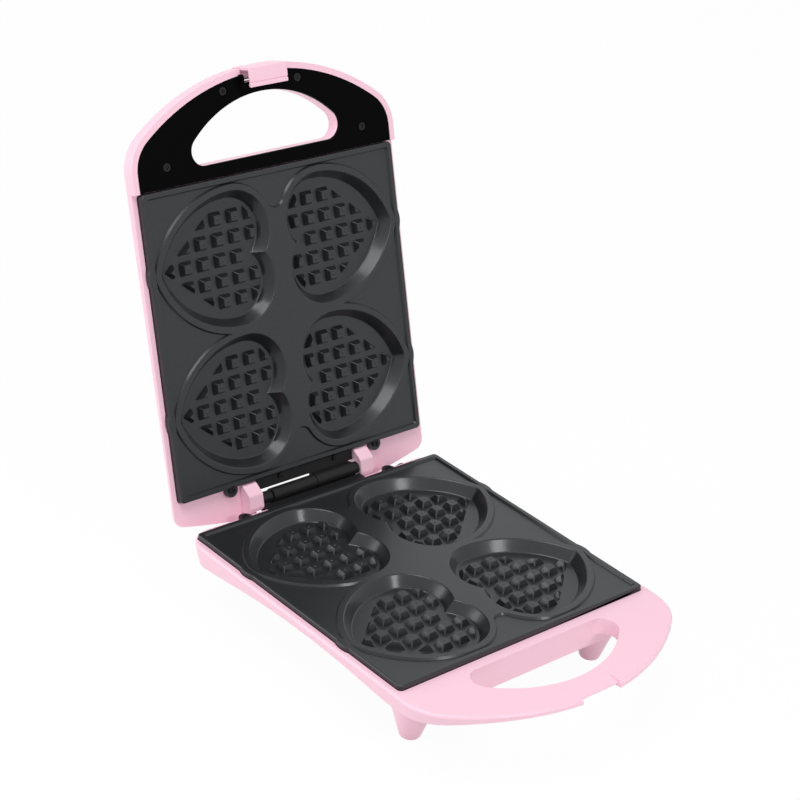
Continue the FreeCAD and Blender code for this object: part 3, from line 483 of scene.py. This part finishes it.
def finish_copy(node, name, width, rounding=round_edges):
    """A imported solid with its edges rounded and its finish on."""
    piece = copy_of(node, name)
    rounding(piece, width)
    hand_over(piece, body_of(node), finish_of(slot_of(node)), slot_of(node), node)
    return piece


# Operators: one for each piece or group of like pieces

class WAFFLE_OT_mouldings(bpy.types.Operator):
    """Rounds the pink shells and the latch and gives them their plastic"""
    bl_idname = "waffle.mouldings"
    bl_label = "Pink mouldings"

    def execute(self, context):
        width = context.scene.waffle_moulding.edge
        finish_copy("base_shell", "base_moulding", width)
        finish_copy("lid_shell", "lid_moulding", width)
        finish_copy("latch_clip", "latch_moulding", width)
        return {"FINISHED"}


class WAFFLE_OT_plates(bpy.types.Operator):
    """Rounds the cast edges of the baking plates and coats them"""
    bl_idname = "waffle.plates"
    bl_label = "Baking plates"

    def execute(self, context):
        width = context.scene.waffle_plate.edge
        finish_copy("base_plate", "base_casting", width, round_brims)
        finish_copy("lid_plate", "lid_casting", width, round_brims)
        return {"FINISHED"}


class WAFFLE_OT_cover(bpy.types.Operator):
    """Rounds and polishes the black cover of the lid's handle"""
    bl_idname = "waffle.cover"
    bl_label = "Handle cover"

    def execute(self, context):
        finish_copy("handle_cover", "handle_face", context.scene.waffle_fitting.edge)
        return {"FINISHED"}


class WAFFLE_OT_hinge(bpy.types.Operator):
    """Rounds and paints the hinge leaves and the pin"""
    bl_idname = "waffle.hinge"
    bl_label = "Hinge"

    def execute(self, context):
        width = context.scene.waffle_fitting.edge
        finish_copy("hinge_base_leaf", "hinge_lower_leaf", width)
        finish_copy("hinge_lid_leaf", "hinge_upper_leaf", width)
        finish_copy("hinge_pin", "hinge_rivet", width)
        return {"FINISHED"}


class WAFFLE_OT_fittings(bpy.types.Operator):
    """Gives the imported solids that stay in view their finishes"""
    bl_idname = "waffle.fittings"
    bl_label = "Fittings"

    def execute(self, context):
        for node, piece in frame["nodes"].items():
            if not piece.hide_render:
                paint(node, finish_of(slot_of(node)))
        return {"FINISHED"}


class WAFFLE_OT_stage(bpy.types.Operator):
    """Lays the pale floor, hangs the lamps and places the camera"""
    bl_idname = "waffle.stage"
    bl_label = "Stage"

    def execute(self, context):
        look = context.scene.waffle_stage
        lay_floor(look)
        light_world(look.ambient)
        hang_lamp("Top lamp", look.top)
        hang_lamp("Left lamp", look.left)
        hang_lamp("Front lamp", look.front)
        place_camera(look.lens)
        context.scene.view_settings.view_transform = "Standard"
        return {"FINISHED"}


def background_rays(tree):
    """A mask of the rays that see the white backdrop: camera, glossy and transmission rays."""
    path = tree.nodes.new("ShaderNodeLightPath")
    mask = path.outputs["Is Camera Ray"]
    for ray in ("Is Glossy Ray", "Is Transmission Ray"):
        either = tree.nodes.new("ShaderNodeMath")
        either.operation = "MAXIMUM"
        tree.links.new(mask, either.inputs[0])
        tree.links.new(path.outputs[ray], either.inputs[1])
        mask = either.outputs[0]
    return mask


def lay_floor(look):
    deselect()
    bpy.ops.mesh.primitive_circle_add(vertices=96, radius=look.floor_radius, fill_type="NGON")
    floor = bpy.context.object
    floor.name = "floor"
    material = bpy.data.materials.new("Pale floor")
    material.use_nodes = True
    tree = material.node_tree
    tree.nodes.clear()
    matt = tree.nodes.new("ShaderNodeBsdfDiffuse")
    matt.inputs["Color"].default_value = opaque(look.floor)
    white = tree.nodes.new("ShaderNodeEmission")
    share = tree.nodes.new("ShaderNodeMath")
    share.operation = "MULTIPLY"
    share.inputs[1].default_value = WHITE_SHARE
    tree.links.new(background_rays(tree), share.inputs[0])
    mix = tree.nodes.new("ShaderNodeMixShader")
    tree.links.new(share.outputs[0], mix.inputs["Fac"])
    tree.links.new(matt.outputs["BSDF"], mix.inputs[1])
    tree.links.new(white.outputs["Emission"], mix.inputs[2])
    end = tree.nodes.new("ShaderNodeOutputMaterial")
    tree.links.new(mix.outputs["Shader"], end.inputs["Surface"])
    floor.data.materials.append(material)


def light_world(ambient):
    world = bpy.data.worlds.new("Soft white room")
    world.use_nodes = True
    bpy.context.scene.world = world
    tree = world.node_tree
    strength = tree.nodes.new("ShaderNodeMapRange")
    strength.inputs["To Min"].default_value = ambient
    strength.inputs["To Max"].default_value = 1.0
    tree.links.new(background_rays(tree), strength.inputs["Value"])
    sky = tree.nodes["Background"]
    sky.inputs["Color"].default_value = (1.0, 1.0, 1.0, 1.0)
    tree.links.new(strength.outputs["Result"], sky.inputs["Strength"])


def hang_lamp(name, power):
    """An area lamp that faces the middle of the waffle maker."""
    place, (width, height) = LAMPS[name]
    deselect()
    bpy.ops.object.light_add(type="AREA", location=place)
    lamp = bpy.context.object
    lamp.name = name
    lamp.data.shape = "RECTANGLE"
    lamp.data.size = width
    lamp.data.size_y = height
    lamp.data.energy = power
    middle = sum((Vector(corner) for corner in cad_box), Vector()) / len(cad_box)
    lamp.rotation_euler = (middle - Vector(place)).to_track_quat("-Z", "Y").to_euler()


def hinge_place():
    return Vector(next(joint["pos_m"] for joint in frame["joints"] if joint["name"] == "lid_hinge"))


def place_camera(lens):
    deselect()
    bpy.ops.object.camera_add()
    camera = bpy.context.object
    camera.name = "Camera"
    camera.data.lens = lens
    camera.data.sensor_width = CAMERA_SENSOR
    turn = (Matrix.Rotation(math.radians(CAMERA_AZIMUTH), 4, "Z")
            @ Matrix.Rotation(math.radians(90 - CAMERA_ELEVATION), 4, "X")
            @ Matrix.Rotation(math.radians(CAMERA_ROLL), 4, "Z"))
    place = hinge_place() + Vector(CAMERA_FROM_HINGE)
    camera.matrix_world = Matrix.Translation(place) @ turn
    bpy.context.scene.camera = camera


class WAFFLE_PT_panel(bpy.types.Panel):
    """Lists the steps in the 3D view's sidebar"""
    bl_idname = "WAFFLE_PT_panel"
    bl_label = "Waffle maker"
    bl_space_type = "VIEW_3D"
    bl_region_type = "UI"
    bl_category = "Waffle"

    def draw(self, context):
        for group, steps in ((context.scene.waffle_moulding, (WAFFLE_OT_mouldings,)),
                             (context.scene.waffle_plate, (WAFFLE_OT_plates,)),
                             (context.scene.waffle_fitting,
                              (WAFFLE_OT_cover, WAFFLE_OT_hinge, WAFFLE_OT_fittings)),
                             (context.scene.waffle_stage, (WAFFLE_OT_stage,))):
            box = self.layout.box()
            for setting in group.__annotations__:
                box.prop(group, setting)
            for step in steps:
                box.operator(step.bl_idname)


SETTINGS = {
    "waffle_moulding": MouldingSettings,
    "waffle_plate": PlateSettings,
    "waffle_fitting": FittingSettings,
    "waffle_stage": StageSettings,
}
STEPS = (WAFFLE_OT_mouldings, WAFFLE_OT_plates, WAFFLE_OT_cover, WAFFLE_OT_hinge, WAFFLE_OT_fittings,
         WAFFLE_OT_stage)
CLASSES = (*SETTINGS.values(), *STEPS, WAFFLE_PT_panel)


def register():
    for cls in CLASSES:
        bpy.utils.register_class(cls)
    for name, cls in SETTINGS.items():
        setattr(bpy.types.Scene, name, PointerProperty(type=cls))


def unregister():
    for name in SETTINGS:
        delattr(bpy.types.Scene, name)
    for cls in reversed(CLASSES):
        bpy.utils.unregister_class(cls)


def main():
    register()
    for step in STEPS:
        getattr(bpy.ops.waffle, step.bl_idname.split(".")[1])()


if __name__ == "__main__":
    main()
